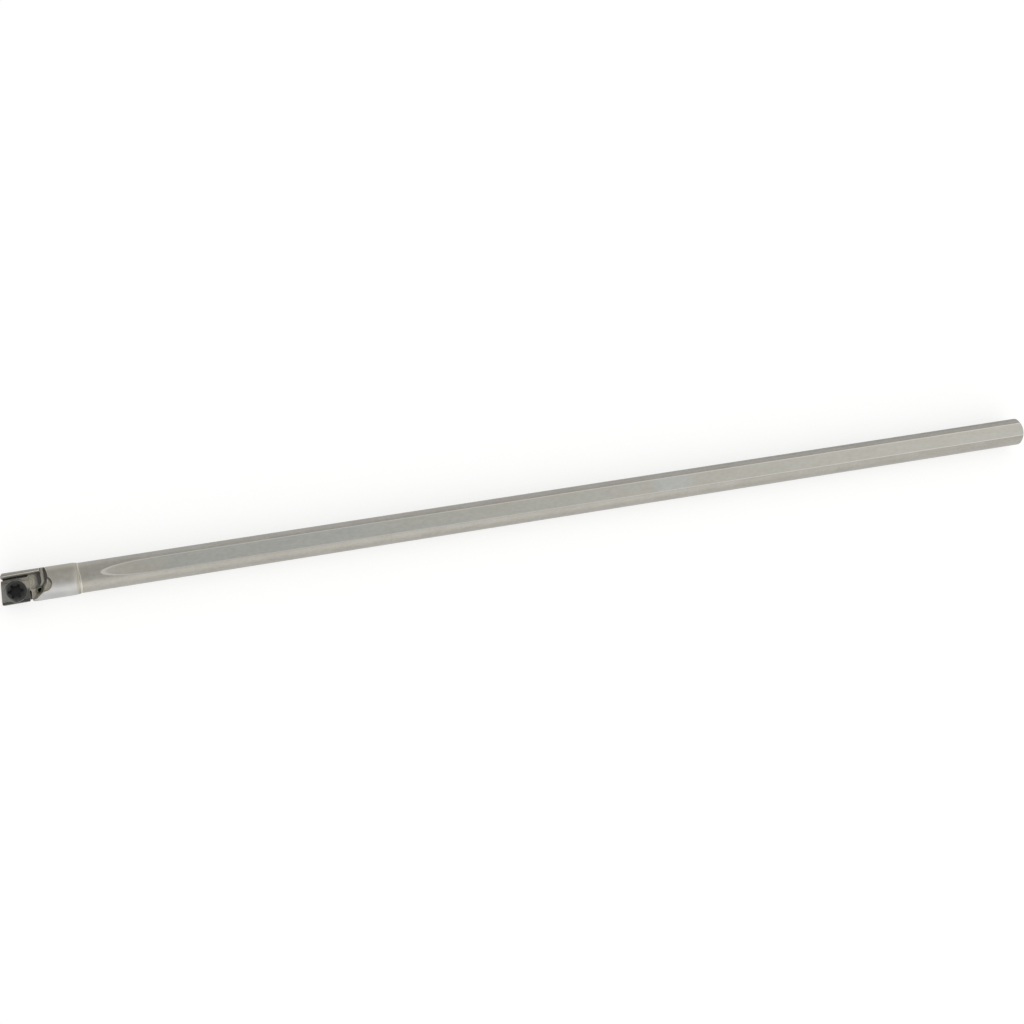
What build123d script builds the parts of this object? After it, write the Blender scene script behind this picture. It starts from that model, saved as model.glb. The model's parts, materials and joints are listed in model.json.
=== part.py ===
"""Indexable boring bar: carbide shank, brazed steel head, screwed-on four-sided insert.

Millimetres. X runs along the bar from the head towards the tail. Z is square to the ground flat and to the
insert's rake face. The origin is on the shank's axis, where the shank comes out of the brazed joint. The
cutting corner is at the front of the head, on the -Y side, and its rake face is at the height of the axis.
"""

import os
from math import cos, radians, sin, sqrt, tan

from build123d import *

# Whole bar
overall_length = 150.0  # cutting corner to tail end
head_length = 10.0  # cutting corner to brazed joint

# Shank
shank_diameter = 4.0
height_over_flat = 3.73  # round underside to ground flat
tail_chamfer = 0.3
flat_runout_start = 2.55  # shank left fully round beside the joint
flat_runout_length = 7.0  # stretch over which the grinding wheel lifts out
spigot_diameter = 2.4
spigot_length = 2.6
coolant_bore_diameter = 1.0

# Brazed joint
braze_thickness = 0.1

# Head
head_diameter = 4.25
back_cone_length = 0.6  # taper from the head down to the shank
front_setback = 0.06  # steel behind the front cutting edge
front_clearance_angle = 7.0
land_front_angle = 24.0  # how far the land's front falls back
side_flat_offset = 2.0  # axis to the flat under the side cutting edge
side_flat_length = 4.0
side_flat_runout = 0.8

# Insert
insert_length = 3.5  # front edge to rear edge
insert_width = 3.2  # between the side edges
insert_corner_angle = 86.0
lead_angle = 93.0  # between the feed direction and the front cutting edge
insert_thickness = 1.4
insert_clearance_angle = 7.0
insert_nose_radius = 0.2
cutting_radius = 2.06  # axis to cutting corner, along Y
groove_land = 0.08  # flat rim along the side edges
groove_width = 0.34
groove_depth = 0.07
groove_wall_angle = 40.0
island_rim = 0.05  # raised rim around the countersink
insert_hole_diameter = 2.3
seat_gap = 0.02  # between the insert's sides and the seat's walls
seat_relief = 0.8  # depth of the free groove between the insert and the land

# Insert screw
screw_diameter = 2.2
screw_head_diameter = 2.8
screw_head_angle = 60.0
screw_head_rim = 0.1  # straight rim above the cone
screw_head_sink = 0.04  # top of the head below the rake face
screw_length = 1.72  # top of the head to the tip
screw_tip_chamfer = 0.2
screw_gap = 0.01  # all round, in the countersink and in the tapped hole
recess_lobes = 6
recess_points = 1.94  # across the lobes
recess_flutes = 1.4  # across the flutes
recess_flute_radius = 0.42
recess_tip_rounding = 0.08
recess_depth = 0.95

# Chip space in the head
chip_floor = -0.03  # lower floor, beside and behind the insert
chip_length = 5.19  # cutting corner to that floor's end
chip_side = -0.56  # Y where that floor ends behind the insert
chip_end_radius = 1.1  # of the rise round the floor, seen from the side
chip_corner_radius = 1.36  # of the same, seen from above
land_wall_front = 1.38  # Y of the land's inner wall at the front of the head
land_wall_rear = 1.54  # and at the end of the lower floor
heel_length = 3.82  # cutting corner to the steel behind the insert
heel_top = -0.5  # Y where the gap in front of that steel ends
heel_corner_radius = 0.45
step_floor = 0.3  # upper floor, behind the insert and across the land
step_length = 5.57  # cutting corner to the wall behind that floor
step_wall_lean = 18.0
step_corner_y = 0.26  # Y where that wall turns towards the cutting side
step_side_angle = 51.5  # direction of the wall there, from the bar's axis
step_side_lean = 30.0
step_corner_radius = 0.5
step_floor_radius = 0.2
land_length = 5.12  # cutting corner to the end of the land
bowl_radius = 1.15  # round hollow above those two walls
bowl_centre = (5.45, -0.4, 2.3)  # behind the cutting corner, Y, Z

# Coolant outlet
outlet_diameter = 0.64
outlet_root = (0.4, -0.1, -0.45)  # behind the socket's bottom, Y, Z
outlet_knee = (5.15, -0.72, -0.5)  # behind the cutting corner, Y, Z
outlet_mouth = (4.55, -0.88, 1.2)  # the same, clear of the steel

# Worked out
REACH = 4.0  # how far cutting shapes reach past the metal
CLOSE = 1e-6  # two heights nearer than this are the same
shank_radius = shank_diameter / 2
head_radius = head_diameter / 2
spigot_radius = spigot_diameter / 2
socket_radius = spigot_radius + braze_thickness
socket_depth = spigot_length + braze_thickness
tail_x = overall_length - head_length
flat_z = height_over_flat - shank_radius
side_edge_angle = 180.0 - insert_corner_angle - lead_angle
front_edge_recess = lead_angle - 90.0
side_way = Vector(1, 0, 0).rotate(Axis.Z, side_edge_angle)
front_way = Vector(0, 1, 0).rotate(Axis.Z, -front_edge_recess)
insert_skew = 1 / sin(radians(insert_corner_angle))
corner_to_centre = (side_way * insert_length + front_way * insert_width) * insert_skew / 2
insert_centre = Vector(-head_length, -cutting_radius) + corner_to_centre
seat_length = 2 * corner_to_centre.X + seat_gap
screw_radius = screw_diameter / 2
screw_head_radius = screw_head_diameter / 2
cone_depth = (screw_head_radius - screw_radius) / tan(radians(screw_head_angle / 2))


def behind(length):
    """X of a place given by its distance behind the cutting corner."""
    return length - head_length


def plan(*points):
    """An outline seen from above, its points as distance behind the cutting corner and Y."""
    return make_face(Polyline(*[(behind(x), y) for x, y in points], close=True))


def above(outline, z):
    """Everything over an outline, from the height z up."""
    return extrude(Pos(0, 0, z) * outline, REACH, dir=(0, 0, 1))


def rod(radius, x_from, x_to):
    """A round bar on the X axis."""
    return extrude(Plane.YZ.offset(x_from) * Circle(radius), x_to - x_from)


def rounded(outline, place, radius):
    """The outline with its corner nearest to a place rounded off."""
    corner = outline.vertices().sort_by_distance((behind(place[0]), place[1]))[0]
    return fillet(corner, radius)


# ---------------------------------------------------------------- shank and joint


def coolant_bore():
    """The hole along the shank, which also passes the filler metal at the spigot's end."""
    return rod(coolant_bore_diameter / 2, -socket_depth, tail_x)


def flat_cut():
    """What the grinding wheel takes off: a long flat that lifts out along an arc towards the head."""
    floor_start = (flat_runout_start + flat_runout_length, flat_z)
    runout_tip = (flat_runout_start, shank_radius)
    far_x = tail_x + REACH
    outline = Polyline(
        floor_start,
        (far_x, flat_z),
        (far_x, REACH),
        (flat_runout_start, REACH),
        runout_tip,
    )
    outline += TangentArc(floor_start, runout_tip, tangent=(-1, 0))
    return extrude(Plane.XZ * make_face(outline), REACH, both=True)


def make_shank():
    body = Rot(90, 0, 0) * rod(shank_radius, 0, tail_x)  # the round wall's seam is up, where the flat comes
    body = chamfer(body.edges().sort_by(Axis.X)[-1], tail_chamfer)
    body += rod(spigot_radius, -spigot_length, 0)
    return body - flat_cut() - coolant_bore()


def make_braze_joint():
    """Filler metal: a thin ring between the shoulders, and a thin cup round the spigot."""
    joint = rod(shank_radius, -braze_thickness, 0) + rod(socket_radius, -socket_depth, 0)
    return joint - rod(spigot_radius, -spigot_length, 0) - coolant_bore()


# ---------------------------------------------------------------- head


def land_wall(length):
    """Y of the land's inner wall at a distance behind the cutting corner."""
    return land_wall_front + (land_wall_rear - land_wall_front) * length / chip_length


def insert_outline(grow=0.0):
    """The insert's outline with sharp corners, in place, each edge moved out by grow."""
    along = side_way * (insert_length / 2 + grow) * insert_skew
    across = front_way * (insert_width / 2 + grow) * insert_skew
    corners = (-along - across, along - across, along + across, across - along)
    return Pos(insert_centre) * make_face(Polyline(*corners, close=True))


def head_blank():
    """The turned head: a short cylinder with a cone at its back and the socket for the spigot."""
    front, back = behind(0), -braze_thickness
    cone_start = back - back_cone_length
    profile = Polyline(
        (front, 0), (front, head_radius), (cone_start, head_radius), (back, shank_radius), (back, 0), close=True
    )
    body = revolve(Plane.XZ * make_face(profile), Axis.X)
    return body - rod(socket_radius, -socket_depth, 0)


def front_cut():
    """Steel taken off in front: with clearance under the cutting edge, and slanting across the land."""
    lean = REACH * tan(radians(front_clearance_angle))
    wedge = make_face(Polyline((0, 0), (0, -REACH), (lean, -REACH), close=True))
    wedge = extrude(Plane.XZ * wedge, REACH, both=True)
    slab = Pos(-REACH / 2, 0, 0) * Box(REACH, 2 * REACH, 2 * REACH)
    under_edge = Pos(behind(front_setback), -cutting_radius) * Rot(0, 0, -front_edge_recess) * (wedge + slab)
    turn_x = front_setback + (land_wall_front + cutting_radius) * tan(radians(front_edge_recess))
    across_land = Pos(behind(turn_x), land_wall_front) * Rot(0, 0, -land_front_angle) * slab
    return under_edge + across_land


def side_cut():
    """The flat under the side cutting edge, with its run-out."""
    end = side_flat_length + side_flat_runout
    outline = plan(
        (-REACH, -REACH),
        (end, -REACH),
        (end, -head_radius),
        (side_flat_length, -side_flat_offset),
        (-REACH, -side_flat_offset),
    )
    return extrude(outline, REACH, both=True)


def insert_seat():
    """The seat with its leaning walls, open to the front and the cutting side, and the gaps round it."""
    seat = extrude(insert_outline(seat_gap), insert_thickness, dir=(0, 0, -1), taper=insert_clearance_angle)
    middle = seat_length / 2
    opening = plan(
        (-REACH, -REACH),
        (heel_length, -REACH),
        (heel_length, heel_top),
        (middle, heel_top),
        (-REACH, heel_top),
    )
    opening = rounded(opening, (heel_length, heel_top), heel_corner_radius)
    beside_land = plan(
        (-REACH, heel_top),
        (middle, heel_top),
        (seat_length, land_wall(seat_length)),
        (-REACH, land_wall(-REACH)),
    )
    return seat + above(opening, -insert_thickness) + above(beside_land, -seat_relief)


def lower_chip_space():
    """Everything above the rake face up to the land, ending in a hollow rise behind the insert."""
    round_insert = plan(
        (-REACH, -REACH),
        (heel_length, -REACH),
        (heel_length, land_wall(heel_length)),
        (-REACH, land_wall(-REACH)),
    )
    rise = step_floor - chip_floor
    overhang = chip_end_radius - sqrt(chip_end_radius**2 - (chip_end_radius - rise) ** 2)
    end, side, start = chip_length + overhang, chip_side - overhang, seat_length / 2
    pocket = plan((start, side), (end, side), (end, land_wall(end)), (start, land_wall(start)))
    pocket = above(rounded(pocket, (end, side), chip_corner_radius), chip_floor)
    foot = pocket.edges().group_by(Axis.Z)[0].sort_by_distance((behind(end), side, chip_floor))[:3]
    return above(round_insert, chip_floor) + fillet(foot, chip_end_radius)


def half_space(point, normal):
    """A block as large as needed, with one face through the point and square to the normal."""
    block = Box(8 * REACH, 8 * REACH, 8 * REACH, align=(Align.CENTER, Align.CENTER, Align.MAX))
    return Plane(Vector(*point), z_dir=Vector(*normal)) * block


def upper_chip_space():
    """The step behind it: a floor out across the land, two leaning walls and a round hollow above them."""
    corner = (behind(step_length), step_corner_y, step_floor)
    lean, side_lean, turn = radians(step_wall_lean), radians(step_side_lean), radians(step_side_angle)
    back = half_space(corner, (cos(lean), 0, -sin(lean)))
    side_normal = (sin(turn) * cos(side_lean), -cos(turn) * cos(side_lean), -sin(side_lean))
    side = half_space(corner, side_normal)
    space = back & side & half_space(corner, (0, 0, -1))
    at_corner = space.edges().sort_by_distance(corner)
    walls_meet = at_corner[:3].sort_by(lambda e: e.center().Z)[-1]
    space = fillet(walls_meet, step_corner_radius)
    floor_edges = space.edges().filter_by(lambda e: abs(e.center().Z - step_floor) < CLOSE)
    space = fillet(floor_edges.sort_by_distance(corner)[:3], step_floor_radius)
    limit = plan(
        (heel_length, -REACH),
        (2 * step_length, -REACH),
        (2 * step_length, REACH),
        (land_length, REACH),
        (land_length, land_wall(land_length)),
        (heel_length, land_wall(heel_length)),
    )
    bowl = Pos(behind(bowl_centre[0]), *bowl_centre[1:]) * Sphere(bowl_radius)
    return (space & above(limit, 0)) + bowl


def tapped_hole():
    hole = Cylinder(screw_radius + screw_gap, REACH, align=(Align.CENTER, Align.CENTER, Align.MAX))
    return Pos(insert_centre) * hole


def coolant_outlet():
    """The drilled way from the socket to the foot of the gullet's wall."""
    root = Vector(outlet_root[0] - socket_depth, *outlet_root[1:])
    knee = Vector(behind(outlet_knee[0]), *outlet_knee[1:])
    mouth = Vector(behind(outlet_mouth[0]), *outlet_mouth[1:])
    way = Pos(knee) * Sphere(outlet_diameter / 2)
    for end in (root, mouth):
        way += extrude(Plane(knee, z_dir=end - knee) * Circle(outlet_diameter / 2), (end - knee).length)
    return way


def make_head():
    head = head_blank() - front_cut() - side_cut()
    head -= lower_chip_space()
    head -= upper_chip_space()
    head -= insert_seat()
    return head - tapped_hole() - coolant_outlet()


# ---------------------------------------------------------------- insert and screw


def make_insert():
    outline = fillet(insert_outline().vertices(), insert_nose_radius)
    body = extrude(outline, insert_thickness, dir=(0, 0, -1), taper=insert_clearance_angle)

    groove_middle = insert_width / 2 - groove_land - groove_width / 2
    groove = Rectangle(2 * insert_length, groove_width)
    groove = extrude(groove, groove_depth, dir=(0, 0, -1), taper=groove_wall_angle)
    groove = Pos(0, -groove_middle) * groove + Pos(0, groove_middle) * groove
    cone_top = screw_head_sink + screw_head_rim
    sink_radius = screw_head_radius + screw_gap
    hole_radius = insert_hole_diameter / 2
    sink_depth = (sink_radius - hole_radius) / tan(radians(screw_head_angle / 2))
    down = (Align.CENTER, Align.CENTER, Align.MAX)
    island = Cylinder(sink_radius + island_rim, insert_thickness, align=down)
    hole = Cylinder(hole_radius, insert_thickness, align=down) + Cylinder(sink_radius, cone_top, align=down)
    hole += Pos(0, 0, -cone_top) * Cone(hole_radius, sink_radius, sink_depth, align=down)
    centre = Pos(insert_centre)
    turned = centre * Rot(0, 0, side_edge_angle)
    return body - (turned * groove - centre * island) - centre * hole


def six_lobe():
    """The outline of the recess: a circle with six round flutes standing into it, its tips rounded."""
    outline = Circle(recess_points / 2)
    flute_centre = recess_flutes / 2 + recess_flute_radius
    for k in range(recess_lobes):
        flute = Pos(flute_centre, 0) * Circle(recess_flute_radius)
        outline -= Rot(0, 0, (k + 0.5) * 360 / recess_lobes) * flute
    return fillet(outline.vertices(), recess_tip_rounding)


def make_insert_screw():
    down = (Align.CENTER, Align.CENTER, Align.MAX)
    shaft_length = screw_length - screw_head_rim
    screw = Cylinder(screw_head_radius, screw_head_rim, align=down)
    cone = Cone(screw_radius, screw_head_radius, cone_depth, align=down)
    shaft = Cylinder(screw_radius, shaft_length, align=down)
    shaft = chamfer(shaft.edges().sort_by(Axis.Z)[0], screw_tip_chamfer)
    screw += Pos(0, 0, -screw_head_rim) * (cone + shaft)
    screw -= extrude(six_lobe(), recess_depth, dir=(0, 0, -1))
    return Pos(insert_centre.X, insert_centre.Y, -screw_head_sink) * screw


NODES = {
    "shank": make_shank,
    "braze_joint": make_braze_joint,
    "head": make_head,
    "insert": make_insert,
    "insert_screw": make_insert_screw,
}

os.makedirs("parts", exist_ok=True)
for name, make in NODES.items():
    export_step(make(), f"parts/{name}.step")
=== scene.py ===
"""An indexable boring bar: carbide shank with a ground flat, brazed steel head, four-sided insert and its screw.

Lengths named *_mm are millimetres, all others are metres. The bar lies along X with its head at -X, and its
ground flat and the insert's rake face look up. The cutting side is at -Y and the far side at +Y.
"""

import json
from math import cos, pi, radians, sin

import bmesh
import bpy
from mathutils import Matrix, Vector


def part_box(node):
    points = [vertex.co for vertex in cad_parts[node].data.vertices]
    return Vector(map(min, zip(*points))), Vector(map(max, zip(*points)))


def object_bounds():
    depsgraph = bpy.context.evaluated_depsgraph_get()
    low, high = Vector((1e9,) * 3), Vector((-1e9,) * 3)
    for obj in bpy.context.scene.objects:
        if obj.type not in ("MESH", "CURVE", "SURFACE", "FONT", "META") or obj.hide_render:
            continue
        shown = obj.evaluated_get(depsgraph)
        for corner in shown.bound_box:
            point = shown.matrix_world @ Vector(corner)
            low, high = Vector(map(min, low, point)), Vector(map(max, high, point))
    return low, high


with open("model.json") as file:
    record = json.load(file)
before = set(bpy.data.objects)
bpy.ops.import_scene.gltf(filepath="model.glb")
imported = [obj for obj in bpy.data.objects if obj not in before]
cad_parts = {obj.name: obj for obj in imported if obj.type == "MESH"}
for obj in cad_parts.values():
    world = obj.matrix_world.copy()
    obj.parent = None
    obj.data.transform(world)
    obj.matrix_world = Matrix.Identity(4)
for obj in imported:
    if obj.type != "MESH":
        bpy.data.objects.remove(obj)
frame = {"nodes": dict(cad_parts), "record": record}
CAD_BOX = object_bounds()

MM = 0.001
mounts = {m["name"]: m for m in frame["record"]["mounts"]}
SHANK_RADIUS = mounts["shank"]["dims"]["r_mm"] * MM
FLAT_HEIGHT = mounts["clamp_flat"]["pos_m"][2]
INSERT_LOW, INSERT_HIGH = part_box("insert")
SCREW_LOW, SCREW_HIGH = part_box("insert_screw")
HEAD_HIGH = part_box("head")[1]

# ------------------------------------------------------------------ node helpers


class Nodes:
    """Adds nodes to a tree and links them by name."""

    def __init__(self, tree):
        self.tree = tree

    def add(self, kind, inputs=None, **settings):
        node = self.tree.nodes.new(kind)
        for name, value in settings.items():
            setattr(node, name, value)
        for name, value in (inputs or {}).items():
            self.feed(node.inputs[name], value)
        return node

    def feed(self, socket, value):
        if isinstance(value, bpy.types.NodeSocket):
            self.tree.links.new(value, socket)
        else:
            socket.default_value = value

    def math(self, operation, *values, clamp=False):
        node = self.add("ShaderNodeMath", operation=operation, use_clamp=clamp)
        for socket, value in zip(node.inputs, values):
            self.feed(socket, value)
        return node.outputs[0]

    def vector_math(self, operation, a, b):
        return self.add("ShaderNodeVectorMath", {0: a, 1: b}, operation=operation).outputs[0]

    def dot(self, a, b):
        return self.add("ShaderNodeVectorMath", {0: a, 1: b}, operation="DOT_PRODUCT").outputs["Value"]

    def length(self, a, b):
        """How long the vector is whose two parts are a and b."""
        return self.math("SQRT", self.math("MULTIPLY_ADD", a, a, self.math("MULTIPLY", b, b)))

    def distance(self, x, y, middle):
        """How far a place is from the middle, seen from above."""
        return self.length(self.math("SUBTRACT", x, middle[0]), self.math("SUBTRACT", y, middle[1]))

    def product(self, first, *others):
        """All the masks at once."""
        for other in others:
            first = self.math("MULTIPLY", first, other)
        return first

    def inverse(self, mask):
        return self.math("SUBTRACT", 1.0, mask)

    def ramp(self, value, low, high):
        """0 below low, 1 above high, and smooth between."""
        node = self.add("ShaderNodeMapRange", interpolation_type="SMOOTHSTEP")
        self.feed(node.inputs["Value"], value)
        self.feed(node.inputs["From Min"], low)
        self.feed(node.inputs["From Max"], high)
        return node.outputs["Result"]

    def ramp_down(self, value, low, high):
        """1 below low, 0 above high, and smooth between."""
        return self.inverse(self.ramp(value, low, high))

    def band(self, value, middle, half_width, blur):
        """1 where the value is within half_width of the middle, and 0 outside, with soft ends."""
        off = self.math("ABSOLUTE", self.math("SUBTRACT", value, middle))
        return self.ramp_down(off, half_width - blur, half_width + blur)

    def mix(self, factor, a, b):
        node = self.add("ShaderNodeMix", data_type="RGBA")
        self.feed(node.inputs["Factor"], factor)
        self.feed(node.inputs["A"], a)
        self.feed(node.inputs["B"], b)
        return node.outputs["Result"]

    def paint(self, tone, colour, mask, strength=None):
        """The tone with the colour laid over it where the mask says, as thickly as the strength says."""
        return self.mix(mask if strength is None else self.product(mask, strength), tone, colour)

    def blend(self, factor, a, b):
        node = self.add("ShaderNodeMix", data_type="FLOAT")
        self.feed(node.inputs["Factor"], factor)
        self.feed(node.inputs["A"], a)
        self.feed(node.inputs["B"], b)
        return node.outputs["Result"]

    def place_mm(self):
        """Object coordinates in millimetres, as a vector and as X, Y and Z."""
        object_place = self.add("ShaderNodeTexCoord").outputs["Object"]
        place = self.vector_math("MULTIPLY", object_place, (1 / MM, 1 / MM, 1 / MM))
        return place, self.add("ShaderNodeSeparateXYZ", {0: place}).outputs

    def along_bar(self, place, share):
        """The place with its X shrunk to a share, which draws a pattern out along the bar."""
        return self.vector_math("MULTIPLY", place, (share, 1.0, 1.0))

    def face_normal(self):
        return self.add("ShaderNodeNewGeometry").outputs["True Normal"]


def new_group(name, inputs, outputs):
    """A shader node group with named float, vector or colour sockets."""
    kinds = {"float": "NodeSocketFloat", "vector": "NodeSocketVector", "colour": "NodeSocketColor"}
    tree = bpy.data.node_groups.new(name, "ShaderNodeTree")
    for socket, (kind, value) in inputs.items():
        made = tree.interface.new_socket(socket, in_out="INPUT", socket_type=kinds[kind])
        made.default_value = value
    for socket, kind in outputs.items():
        tree.interface.new_socket(socket, in_out="OUTPUT", socket_type=kinds[kind])
    nodes = Nodes(tree)
    return nodes, nodes.add("NodeGroupInput").outputs, nodes.add("NodeGroupOutput").inputs


def new_finish(name):
    """A material with a bare Principled BSDF."""
    material = bpy.data.materials.new(name)
    material.use_nodes = True
    material.node_tree.nodes.clear()
    nodes = Nodes(material.node_tree)
    shader = nodes.add("ShaderNodeBsdfPrincipled")
    output = nodes.add("ShaderNodeOutputMaterial")
    nodes.feed(output.inputs["Surface"], shader.outputs[0])
    return material, nodes, shader


def coat(nodes, shader, tone, metallic, roughness, height, depth_mm):
    """Feeds a finish to its shader, with a height mask that is depth_mm deep as its relief."""
    nodes.feed(shader.inputs["Base Color"], tone)
    nodes.feed(shader.inputs["Metallic"], metallic)
    nodes.feed(shader.inputs["Roughness"], roughness)
    bump = nodes.add("ShaderNodeBump", {"Height": height, "Distance": depth_mm * MM, "Strength": 1.0})
    nodes.feed(shader.inputs["Normal"], bump.outputs["Normal"])


def grey(level, warmth=0.0):
    """A near-grey colour; warmth moves it from blue towards yellow."""
    return (level * (1 + warmth), level, level * (1 - 2.2 * warmth), 1.0)


# ------------------------------------------------------------------ effects that finishes share

UPWARD = (0.0, 0.0, 1.0)
BLOTCH_FROM, BLOTCH_TO = 0.32, 0.68  # noise at which a blotch starts, and at which it is full
FILLER_WIDTH_MM = 0.075
FILLER_SWING_MM = 0.38  # how far the line moves each way along the bar as it goes round
FILLER_BACK_MM = 0.36  # how far its middle lies towards the head
FILLER_TURN = radians(20.0)  # its furthest point from the head, turned from the top to the cutting side
FILLER_WOBBLE_MM = 0.2
FILLER_TONE = grey(0.62, 0.03)
SHUT_IN, OPEN = 0.55, 0.9  # ambient occlusion at which an edge is fully marked, and at which it is not


def grinding_marks_group():
    """Fine parallel scratches: noise drawn out along the way the wheel ran."""
    nodes, given, out = new_group(
        "grinding marks",
        {"Place": ("vector", (0, 0, 0)), "Marks per mm": ("vector", (1, 1, 1))},
        {"Mask": "float"},
    )
    stretched = nodes.vector_math("MULTIPLY", given["Place"], given["Marks per mm"])
    noise = nodes.add("ShaderNodeTexNoise", {"Vector": stretched, "Scale": 1.0, "Detail": 3.0, "Roughness": 0.6})
    nodes.feed(out["Mask"], noise.outputs["Fac"])
    return nodes.tree


def mottle_group():
    """Soft blotches in two sizes, as handling and sintering leave on bare metal."""
    nodes, given, out = new_group(
        "mottle",
        {"Place": ("vector", (0, 0, 0)), "Blotch mm": ("float", 3.0), "Speck mm": ("float", 0.3)},
        {"Blotches": "float", "Specks": "float"},
    )
    for socket, size, detail in (("Blotches", given["Blotch mm"], 2.0), ("Specks", given["Speck mm"], 3.0)):
        scale = nodes.math("DIVIDE", 1.0, size)
        noise = nodes.add("ShaderNodeTexNoise", {"Vector": given["Place"], "Scale": scale, "Detail": detail})
        nodes.feed(out[socket], nodes.ramp(noise.outputs["Fac"], BLOTCH_FROM, BLOTCH_TO))
    return nodes.tree


def filler_line_group():
    """The thin bright line of filler metal round the joint, which wanders along the bar, and the stain beside it."""
    nodes, given, out = new_group(
        "filler line",
        {"Place": ("vector", (0, 0, 0)), "Width mm": ("float", 0.1)},
        {"Line": "float", "Stain": "float"},
    )
    x, _, _ = nodes.add("ShaderNodeSeparateXYZ", {0: given["Place"]}).outputs
    furthest = (0.0, -FILLER_SWING_MM * sin(FILLER_TURN), FILLER_SWING_MM * cos(FILLER_TURN))
    swing = nodes.math("DIVIDE", nodes.dot(given["Place"], furthest), SHANK_RADIUS / MM)
    noise = nodes.add("ShaderNodeTexNoise", {"Vector": given["Place"], "Scale": 0.9, "Detail": 1.0})
    wobble = nodes.math("MULTIPLY", noise.outputs["Fac"], FILLER_WOBBLE_MM)
    middle = nodes.math("ADD", nodes.math("SUBTRACT", swing, FILLER_BACK_MM), wobble)
    off = nodes.math("ABSOLUTE", nodes.math("SUBTRACT", x, middle))
    nodes.feed(out["Line"], nodes.ramp(nodes.math("SUBTRACT", given["Width mm"], off), -0.02, 0.05))
    nodes.feed(out["Stain"], nodes.ramp_down(off, 0.15, 1.3))
    return nodes.tree


def edges_group():
    """Wear and sheen marks the outer edges, kept bright by handling and by a painted highlight, and Shade the inner
    corners and the gaps between parts, darkened as painted shade.
    """
    nodes, given, out = new_group(
        "edges", {"Worn mm": ("float", 0.1), "Grimy mm": ("float", 0.3)}, {"Wear and sheen": "float", "Shade": "float"}
    )
    for socket, reach_mm, inside in (("Wear and sheen", given["Worn mm"], True), ("Shade", given["Grimy mm"], False)):
        reach = nodes.math("MULTIPLY", reach_mm, MM)
        nearby = nodes.add(
            "ShaderNodeAmbientOcclusion", {"Distance": reach}, inside=inside, only_local=inside, samples=8
        )
        nodes.feed(out[socket], nodes.ramp_down(nearby.outputs["AO"], SHUT_IN, OPEN))
    return nodes.tree


GROUPS = {
    "grinding_marks": grinding_marks_group(),
    "mottle": mottle_group(),
    "filler_line": filler_line_group(),
    "edges": edges_group(),
}


def use_group(nodes, name, **inputs):
    """A shared effect's outputs; an input's name is its socket's, with _ for each space."""
    given = {socket.replace("_", " "): value for socket, value in inputs.items()}
    return nodes.add("ShaderNodeGroup", given, node_tree=GROUPS[name]).outputs


def grinding_marks(nodes, place, marks_per_mm):
    return use_group(nodes, "grinding_marks", Place=place, Marks_per_mm=marks_per_mm)["Mask"]


def mottle(nodes, place, blotch_mm, speck_mm):
    outputs = use_group(nodes, "mottle", Place=place, Blotch_mm=blotch_mm, Speck_mm=speck_mm)
    return outputs["Blotches"], outputs["Specks"]


def filler_line(nodes, place):
    outputs = use_group(nodes, "filler_line", Place=place, Width_mm=FILLER_WIDTH_MM)
    return outputs["Line"], outputs["Stain"]


def edges(nodes, edge_sheen_and_wear_mm, corner_shade_mm):
    outputs = use_group(nodes, "edges", Worn_mm=edge_sheen_and_wear_mm, Grimy_mm=corner_shade_mm)
    return outputs["Wear and sheen"], outputs["Shade"]


def brazed(nodes, place, blotches, tone):
    """The tone with the filler line over it, and the stain that the heat left beside the line."""
    line, stain = filler_line(nodes, place)
    tone = nodes.paint(tone, grey(0.42, 0.09), stain, nodes.blend(blotches, 0.10, 0.35))
    return nodes.paint(tone, FILLER_TONE, line)


# ------------------------------------------------------------------ finishes of the shank and the joint

WIPED_AT_MM, WIPED_HALF_MM = 82.3, 2.6  # a patch of the flat that was wiped clean


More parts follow.
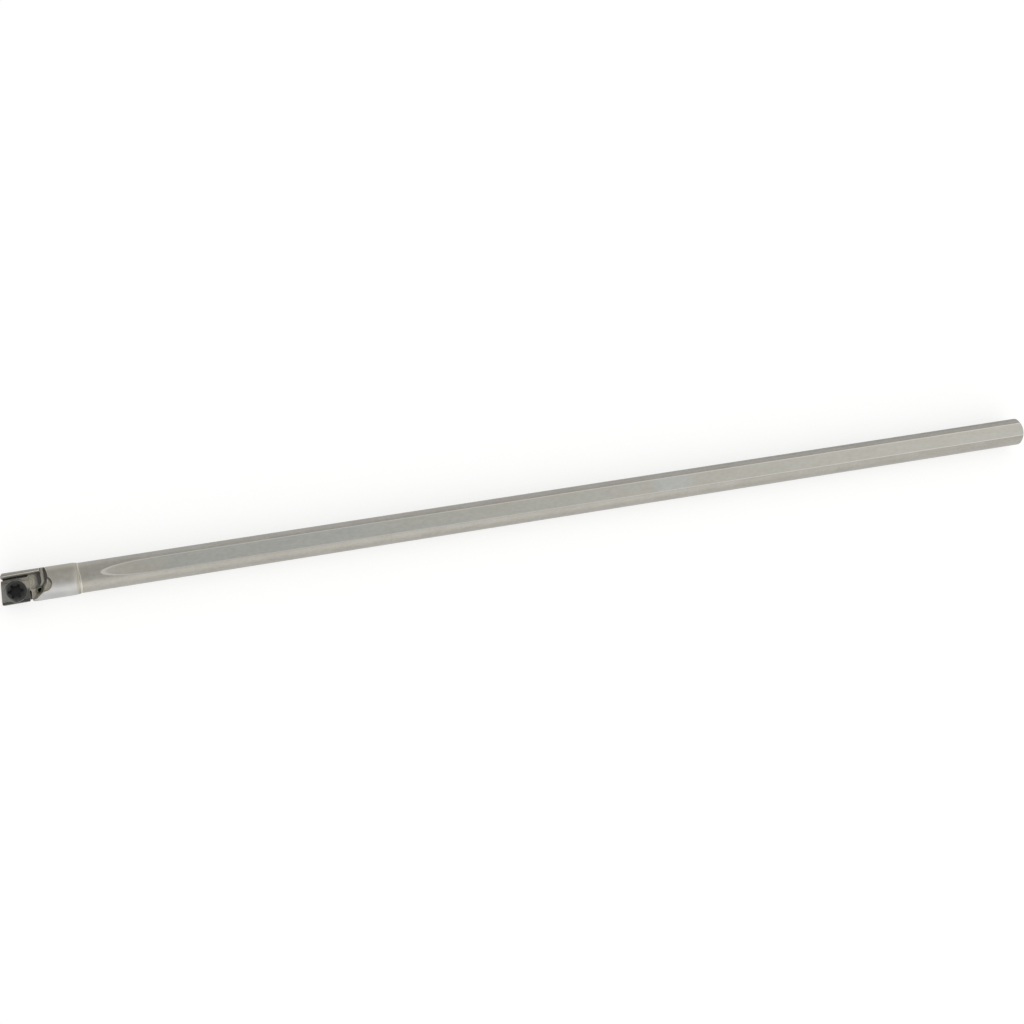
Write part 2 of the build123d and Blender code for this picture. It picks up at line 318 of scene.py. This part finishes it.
def ground_carbide():
    """The shank: round wall ground between centres, flat ground lengthwise, both slightly mottled."""
    material, nodes, shader = new_finish("ground_carbide")
    place, (x, y, z) = nodes.place_mm()
    flat_mm = FLAT_HEIGHT / MM
    under_round = nodes.math("SUBTRACT", SHANK_RADIUS / MM, nodes.length(y, z))
    near_top = nodes.ramp(z, flat_mm - 0.25, flat_mm - 0.2)
    on_flat = nodes.product(near_top, nodes.ramp(under_round, 0.006, 0.012))
    flat_edge_highlight = nodes.product(on_flat, nodes.ramp_down(under_round, 0.035, 0.075))

    round_marks = grinding_marks(nodes, place, (5.0, 0.25, 0.25))
    flat_marks = grinding_marks(nodes, place, (0.12, 9.0, 0.5))
    marks = nodes.blend(on_flat, round_marks, flat_marks)
    blotches, specks = mottle(nodes, nodes.along_bar(place, 0.35), 1.6, 0.22)
    patches, _ = mottle(nodes, nodes.along_bar(place, 0.10), 2.6, 0.5)
    _, freckles = mottle(nodes, nodes.along_bar(place, 0.5), 1.0, 0.42)

    # the flat is cool grey in its front half, and yellower where it runs out at the head, and towards the tail as a
    # painted warm reflection
    towards_tail = nodes.math("SUBTRACT", nodes.ramp(x, 30.0, 115.0), 0.3)
    warm_part = nodes.math("ADD", nodes.product(patches, 0.85), towards_tail, clamp=True)
    warm_part = nodes.math("MAXIMUM", warm_part, nodes.ramp_down(x, 8.0, 14.0))
    wiped = nodes.product(nodes.band(x, WIPED_AT_MM, WIPED_HALF_MM, 0.9), nodes.blend(patches, 0.7, 1.0))
    warm_part = nodes.product(warm_part, nodes.inverse(wiped))
    flat_tone = nodes.mix(warm_part, (0.478, 0.496, 0.480, 1.0), (0.505, 0.492, 0.432, 1.0))
    flat_tone = nodes.paint(flat_tone, (0.53, 0.525, 0.49, 1.0), blotches, 0.5)
    flat_tone = nodes.paint(flat_tone, (0.56, 0.585, 0.58, 1.0), wiped, 0.5)

    # the round wall is darker on its far side, most at the tail: painted shade
    round_tone = nodes.mix(blotches, grey(0.345, 0.045), grey(0.39, 0.04))
    far_side_shade = nodes.product(nodes.ramp(y, 1.2, 1.8), nodes.blend(nodes.ramp(x, 20.0, 150.0), 0.35, 1.0))
    round_tone = nodes.paint(round_tone, grey(0.15, 0.05), far_side_shade)

    tone = nodes.mix(on_flat, round_tone, flat_tone)
    tone = nodes.paint(tone, grey(0.36, 0.06), freckles, 0.28)
    tone = nodes.paint(tone, grey(0.62, 0.02), specks, 0.22)
    tone = nodes.paint(tone, grey(0.28, 0.03), marks, 0.25)
    # a painted highlight along the flat's edges
    tone = nodes.paint(tone, grey(0.66, 0.025), flat_edge_highlight, 0.75)
    tone = brazed(nodes, place, blotches, tone)
    roughness = nodes.math("MULTIPLY_ADD", marks, 0.08, nodes.blend(specks, 0.30, 0.40))
    coat(nodes, shader, tone, 1.0, roughness, nodes.math("MULTIPLY_ADD", specks, 0.3, marks), 0.0012)
    return material


def brazing_filler():
    """The ring of silver filler metal between the shank and the head, dressed down with them."""
    material, nodes, shader = new_finish("brazing_filler")
    place, _ = nodes.place_mm()
    blotches, specks = mottle(nodes, place, 0.8, 0.12)
    line, _ = filler_line(nodes, place)
    tone = nodes.mix(blotches, grey(0.40, 0.07), grey(0.46, 0.05))
    coat(nodes, shader, nodes.paint(tone, FILLER_TONE, line), 1.0, nodes.blend(specks, 0.30, 0.42), specks, 0.002)
    return material


# ------------------------------------------------------------------ finish of the head

CUTTER_STOOD_MM = (-6.4, 0.5)  # X and Y of the middle of the rings in the chip space
CUTTER_STEP_MM = 0.36
END_FACING = (-0.87, -0.5, 0.0)  # the way the chip space's end faces
STEP_MM = (0.22, 0.30)  # Z between which the rise at that end gives way to the strip above it
OUTLET_MM = (-5.13, -0.82)  # X and Y of the coolant's mouth
STREAK_TURN = radians(30.0)  # a brown streak beside the slanting wall: its angle from the bar's axis
STREAK_OFF_MM = 1.18


def cutter_rings(nodes, x, y):
    """Rings left by the ball-nosed cutter on the chip space's floor."""
    turns = nodes.math("MULTIPLY", nodes.distance(x, y, CUTTER_STOOD_MM), 2 * pi / CUTTER_STEP_MM)
    return nodes.math("MULTIPLY_ADD", nodes.math("SINE", turns), 0.5, 0.5)


def painted_wall_shade(nodes, x, y, z, milled):
    """Painted shade on the rise at the floor's end and on the wall behind it, the darkest milled faces; on other walls
    only at their foot.
    """
    normal = nodes.face_normal()
    end_facing = nodes.product(nodes.dot(normal, END_FACING), milled)
    under_step = nodes.ramp_down(z, *STEP_MM)
    rise = nodes.product(nodes.ramp(end_facing, 0.03, 0.22), under_step)
    near_rise = nodes.product(nodes.band(x, -5.1, 0.55, 0.2), under_step, milled, 0.6)
    rise = nodes.math("MAXIMUM", rise, near_rise)

    end_wall = nodes.product(nodes.ramp(end_facing, 0.35, 0.75), nodes.ramp(z, 0.25, 0.34))
    hollow = nodes.product(
        nodes.ramp(z, 0.95, 1.2), nodes.ramp_down(y, 0.4, 0.7), nodes.ramp_down(end_facing, 0.62, 0.85)
    )
    end_wall = nodes.product(end_wall, nodes.inverse(hollow))
    over_floor = nodes.product(milled, nodes.ramp(z, 0.29, 0.33), nodes.ramp(y, -1.3, -0.8))
    steep = nodes.ramp_down(nodes.dot(normal, UPWARD), 0.85, 0.97)
    foot = nodes.product(over_floor, nodes.ramp_down(z, 0.6, 0.9), steep, 0.8)
    return rise, nodes.math("MAXIMUM", end_wall, foot)


def brown_streak(nodes, place, x, z):
    across = nodes.dot(place, (-sin(STREAK_TURN), cos(STREAK_TURN), 0.0))
    return nodes.product(
        nodes.band(across, STREAK_OFF_MM, 0.07, 0.04), nodes.band(x, -5.2, 0.8, 0.2), nodes.ramp(z, 0.6, 0.9)
    )


def head_steel():
    """Turned steel, with the milled chip space duller and stained, and its walls darkest with painted shade; the
    outside carries painted light and shade too.
    """
    material, nodes, shader = new_finish("head_steel")
    place, (x, y, z) = nodes.place_mm()
    blotches, specks = mottle(nodes, place, 1.1, 0.1)
    turned = grinding_marks(nodes, place, (7.0, 0.5, 0.5))
    depth = nodes.math("SUBTRACT", HEAD_HIGH[1] / MM, nodes.length(y, z))
    milled = nodes.product(nodes.ramp(depth, 0.03, 0.1), nodes.ramp(z, -0.1, -0.04))

    # the turned outside, with painted light on it: painted shade on the far side, a painted cool light on the cutting
    # side, and the darkest painted shade on the land beside the insert
    tone = nodes.mix(blotches, grey(0.41, 0.045), grey(0.48, 0.035))
    tone = nodes.paint(tone, grey(0.30, 0.03), turned, 0.2)
    tone = nodes.paint(tone, grey(0.33, 0.06), nodes.ramp(y, 0.2, 1.2), 0.8)
    cutting_side_cool_light = nodes.mix(blotches, grey(0.46, 0.0), grey(0.50, 0.01))
    tone = nodes.paint(tone, cutting_side_cool_light, nodes.ramp_down(y, -0.9, -0.3))
    land_shade = nodes.product(nodes.ramp(y, 1.15, 1.3), nodes.ramp_down(x, -5.0, -4.7))
    tone = nodes.paint(tone, nodes.mix(specks, grey(0.19, 0.07), grey(0.25, 0.06)), land_shade)

    # the chip space: its floor with the cutter's rings, its heel, painted shade on its end and walls, and painted
    # shade round the coolant's mouth
    tone = nodes.paint(tone, nodes.mix(blotches, grey(0.44, 0.07), grey(0.53, 0.06)), milled)
    rings = nodes.product(cutter_rings(nodes, x, y), milled, nodes.blend(blotches, 0.4, 0.9))
    tone = nodes.paint(tone, grey(0.31, 0.06), rings)
    heel = nodes.product(milled, nodes.ramp_down(y, -1.0, -0.6), nodes.ramp_down(z, 0.5, 1.2))
    tone = nodes.paint(tone, grey(0.30, 0.08), heel, 0.8)
    rise, wall = painted_wall_shade(nodes, x, y, z, milled)
    # painted shade on the rise and on the walls
    tone = nodes.paint(tone, grey(0.11, 0.0), rise)
    tone = nodes.paint(tone, grey(0.13, 0.03), wall)
    outlet_shade = nodes.product(nodes.ramp_down(nodes.distance(x, y, OUTLET_MM), 0.42, 0.78), milled)
    tone = nodes.paint(tone, (0.075, 0.08, 0.055, 1.0), outlet_shade, 0.85)

    # painted shade on the steel deep under the insert, wear and a painted highlight on the edges, painted shade in the
    # corners, and the streak
    deep_under_insert_shade = nodes.product(nodes.ramp_down(z, -1.0, -0.1), nodes.ramp_down(x, -6.15, -6.0), nodes.ramp(depth, 0.1, 0.4))
    tone = nodes.paint(tone, grey(0.12, 0.03), deep_under_insert_shade, 0.7)
    edge_wear_and_sheen, corner_shade = edges(nodes, 0.10, 0.25)
    tone = nodes.paint(tone, grey(0.12, 0.04), corner_shade, 0.6)
    tone = nodes.paint(tone, grey(0.80, 0.03), edge_wear_and_sheen, 0.7)
    streak = brown_streak(nodes, place, x, z)
    tone = nodes.paint(tone, (0.20, 0.165, 0.105, 1.0), streak, nodes.blend(specks, 0.5, 0.9))

    tone = brazed(nodes, place, blotches, tone)
    roughness = nodes.math("ADD", nodes.blend(specks, 0.30, 0.42), nodes.product(milled, 0.12))
    height = nodes.math("ADD", specks, turned)
    coat(nodes, shader, tone, nodes.blend(milled, 1.0, 0.5), roughness, height, 0.0015)
    return material


# ------------------------------------------------------------------ finishes of the insert and its screw


def sintered_carbide():
    """The insert: dull sintered carbide, beige on its face, and greener in the ground grooves, where painted shade
    also darkens it.
    """
    material, nodes, shader = new_finish("sintered_carbide")
    place, (x, y, z) = nodes.place_mm()
    blotches, specks = mottle(nodes, place, 0.7, 0.06)
    front_mm, rear_mm = INSERT_LOW[0] / MM, INSERT_HIGH[0] / MM
    tone = nodes.mix(blotches, grey(0.20, 0.04), grey(0.26, 0.05))
    rubbed = nodes.product(nodes.ramp(x, rear_mm - 1.5, rear_mm - 0.4), nodes.ramp(y, -0.75, -0.35))
    tone = nodes.paint(tone, grey(0.40, 0.07), rubbed)
    # the ground grooves greener, and darker with painted shade
    groove_tint_and_shade = nodes.product(nodes.ramp_down(z, -0.06, -0.02), nodes.ramp_down(y, -1.2, -0.9))
    tone = nodes.paint(tone, (0.060, 0.070, 0.058, 1.0), groove_tint_and_shade, 0.85)
    shaded = nodes.product(nodes.ramp(x, rear_mm - 1.3, rear_mm - 0.8), nodes.ramp_down(y, -0.45, -0.05))
    tone = nodes.paint(tone, grey(0.07, 0.02), shaded, 0.8)
    # a painted highlight along the front edge of the face
    front_rim_highlight = nodes.product(nodes.band(x, front_mm, 0.3, 0.04), nodes.ramp(z, -0.03, -0.005))
    tone = nodes.paint(tone, (0.26, 0.28, 0.26, 1.0), front_rim_highlight, 0.6)
    # painted shade in the corners, and wear and a painted highlight on the edges
    keen_edge_wear_and_sheen, corner_shade = edges(nodes, 0.06, 0.2)
    tone = nodes.paint(tone, grey(0.06, 0.02), corner_shade, 0.5)
    tone = nodes.paint(tone, grey(0.50, 0.02), keen_edge_wear_and_sheen, 0.5)
    coat(nodes, shader, tone, 0.8, nodes.blend(specks, 0.38, 0.52), specks, 0.002)
    return material


def black_oxide():
    """The screw: blackened steel, with a painted highlight on one side of the rim of its head, painted shade on its
    head's side towards the tail, and in its recess painted shade at the bottom and painted light on the walls.
    """
    material, nodes, shader = new_finish("black_oxide")
    place, (x, y, z) = nodes.place_mm()
    blotches, specks = mottle(nodes, place, 0.5, 0.07)
    middle = [(SCREW_LOW[k] + SCREW_HIGH[k]) / 2 / MM for k in range(2)]
    head_radius_mm = (SCREW_HIGH[0] - SCREW_LOW[0]) / 2 / MM
    top_mm = SCREW_HIGH[2] / MM
    off_x, off_y = nodes.math("SUBTRACT", x, middle[0]), nodes.math("SUBTRACT", y, middle[1])
    from_middle = nodes.length(off_x, off_y)

    tone = nodes.mix(blotches, grey(0.045, 0.0), grey(0.075, 0.0))
    # painted shade on the head's side towards the tail
    tone = nodes.paint(tone, grey(0.028, 0.0), nodes.ramp(off_x, 0.0, 1.1), 0.7)
    inner = nodes.ramp_down(from_middle, head_radius_mm - 0.45, head_radius_mm - 0.25)
    tone = nodes.paint(tone, grey(0.02, 0.0), inner, 0.7)
    # a painted highlight on one side of the head's rim
    on_top = nodes.ramp(z, top_mm - 0.03, top_mm - 0.01)
    rim = nodes.product(nodes.ramp(from_middle, head_radius_mm - 0.34, head_radius_mm - 0.16), on_top)
    lit_way = nodes.math("MULTIPLY_ADD", off_x, -0.92, nodes.product(off_y, -0.38))
    tone = nodes.paint(tone, grey(0.26, 0.0), rim, nodes.blend(nodes.ramp(lit_way, 0.5, 1.3), 0.05, 0.9))
    # the recess: painted shade on its floor, and painted light on its walls
    recess_light_and_shade = nodes.ramp_down(z, top_mm - 0.5, top_mm - 0.02)
    lying = nodes.ramp(nodes.dot(nodes.face_normal(), UPWARD), 0.3, 0.8)
    tone = nodes.paint(tone, nodes.mix(lying, grey(0.10, 0.0), grey(0.018, 0.0)), recess_light_and_shade, 0.9)
    coat(nodes, shader, tone, 0.5, nodes.blend(specks, 0.34, 0.5), specks, 0.002)
    return material


# ------------------------------------------------------------------ pieces


FINISHES = {
    "shank": ground_carbide(),
    "braze_joint": brazing_filler(),
    "head": head_steel(),
    "insert": sintered_carbide(),
    "insert_screw": black_oxide(),
}


def finish_nodes():
    for name, material in FINISHES.items():
        mesh = frame["nodes"][name].data
        mesh.materials.clear()
        mesh.materials.append(material)


# ------------------------------------------------------------------ floor, light and camera

FLOOR_REACH = 30.0
FLOOR_PAINT, FLOOR_GLOW = 0.5, 0.62


def pale_floor():
    """A white floor that keeps the soft shadow; metal sees it as white too."""
    material, nodes, shader = new_finish("pale_floor")
    shader.inputs["Base Color"].default_value = grey(FLOOR_PAINT)
    shader.inputs["Roughness"].default_value = 1.0
    shader.inputs["Specular IOR Level"].default_value = 0.0
    rays = nodes.add("ShaderNodeLightPath").outputs
    seen = nodes.math("MAXIMUM", rays["Is Camera Ray"], rays["Is Glossy Ray"])
    seen = nodes.math("MAXIMUM", seen, rays["Is Transmission Ray"])
    nodes.feed(shader.inputs["Emission Strength"], nodes.math("MULTIPLY", seen, FLOOR_GLOW))
    shader.inputs["Emission Color"].default_value = grey(1.0)
    return material


def lay_floor():
    mesh = bpy.data.meshes.new("floor")
    shape = bmesh.new()
    bmesh.ops.create_grid(shape, x_segments=1, y_segments=1, size=FLOOR_REACH)
    bmesh.ops.translate(shape, verts=shape.verts, vec=(0, 0, CAD_BOX[0][2]))
    shape.to_mesh(mesh)
    shape.free()
    floor = bpy.data.objects.new("floor", mesh)
    bpy.context.scene.collection.objects.link(floor)
    mesh.materials.append(pale_floor())


def softbox(name, place, aim, size, radiance, tint=(1.0, 1.0, 1.0)):
    """A square soft lamp, as bright as the radiance says when it is looked at."""
    lamp = bpy.data.lights.new(name, "AREA")
    lamp.shape = "SQUARE"
    lamp.size = size
    lamp.energy = radiance * pi * size * size
    lamp.color = tint
    holder = bpy.data.objects.new(name, lamp)
    holder.location = place
    holder.rotation_euler = (Vector(aim) - Vector(place)).to_track_quat("-Z", "Y").to_euler()
    bpy.context.scene.collection.objects.link(holder)


def light_studio():
    """Soft light all round, brighter over the tail and at both sides, and a little more so on the cutting side."""
    world = bpy.data.worlds.new("studio")
    bpy.context.scene.world = world
    world.use_nodes = True
    nodes = Nodes(world.node_tree)
    background = world.node_tree.nodes["Background"]
    way = nodes.add("ShaderNodeTexCoord").outputs["Generated"]
    to_tail, to_far_side, up = nodes.add("ShaderNodeSeparateXYZ", {0: way}).outputs
    over_tail = nodes.math("MULTIPLY", to_tail, nodes.math("MAXIMUM", up, 0.0))
    sideways = nodes.math("ABSOLUTE", to_far_side)
    level = nodes.math("ADD", nodes.dot(way, (0.0, -0.10, 0.05)), 0.62)
    level = nodes.math("MULTIPLY_ADD", over_tail, 0.45, level)
    level = nodes.math("MULTIPLY_ADD", sideways, 0.22, level, clamp=True)
    nodes.feed(background.inputs["Color"], nodes.mix(level, grey(0.0), (1.0, 1.0, 0.985, 1.0)))
    middle = (0.06, 0.0, 0.0)
    softbox("tail_box", (0.42, 0.10, 0.36), middle, 0.36, 0.27)
    softbox("front_box", (0.08, -0.45, 0.10), middle, 0.60, 0.38, (1.02, 0.995, 0.965))


def place_camera():
    """Looks down on the bar from above its head, a little from the cutting side, with the bar rising to the right."""
    tilt, roll = radians(9.0), radians(8.907)
    distance, lens_mm = 0.19374, 50.020
    stand = Vector((0.01007, -distance * sin(tilt), distance * cos(tilt)))
    aim = Vector((0.05865, -0.00023, 0.0))
    forward = (aim - stand).normalized()
    along = Vector((1, 0, 0))
    level = (along - forward * along.dot(forward)).normalized()
    right = Matrix.Rotation(roll, 3, forward) @ level
    turn = Matrix((right, right.cross(forward), -forward)).transposed()
    camera = bpy.data.cameras.new("camera")
    camera.sensor_width = 36.0
    camera.lens = lens_mm
    camera.clip_start = 0.005
    holder = bpy.data.objects.new("camera", camera)
    bpy.context.scene.collection.objects.link(holder)
    holder.matrix_world = Matrix.Translation(stand) @ turn.to_4x4()
    bpy.context.scene.camera = holder


finish_nodes()
lay_floor()
light_studio()
place_camera()
bpy.context.scene.view_settings.view_transform = "Standard"
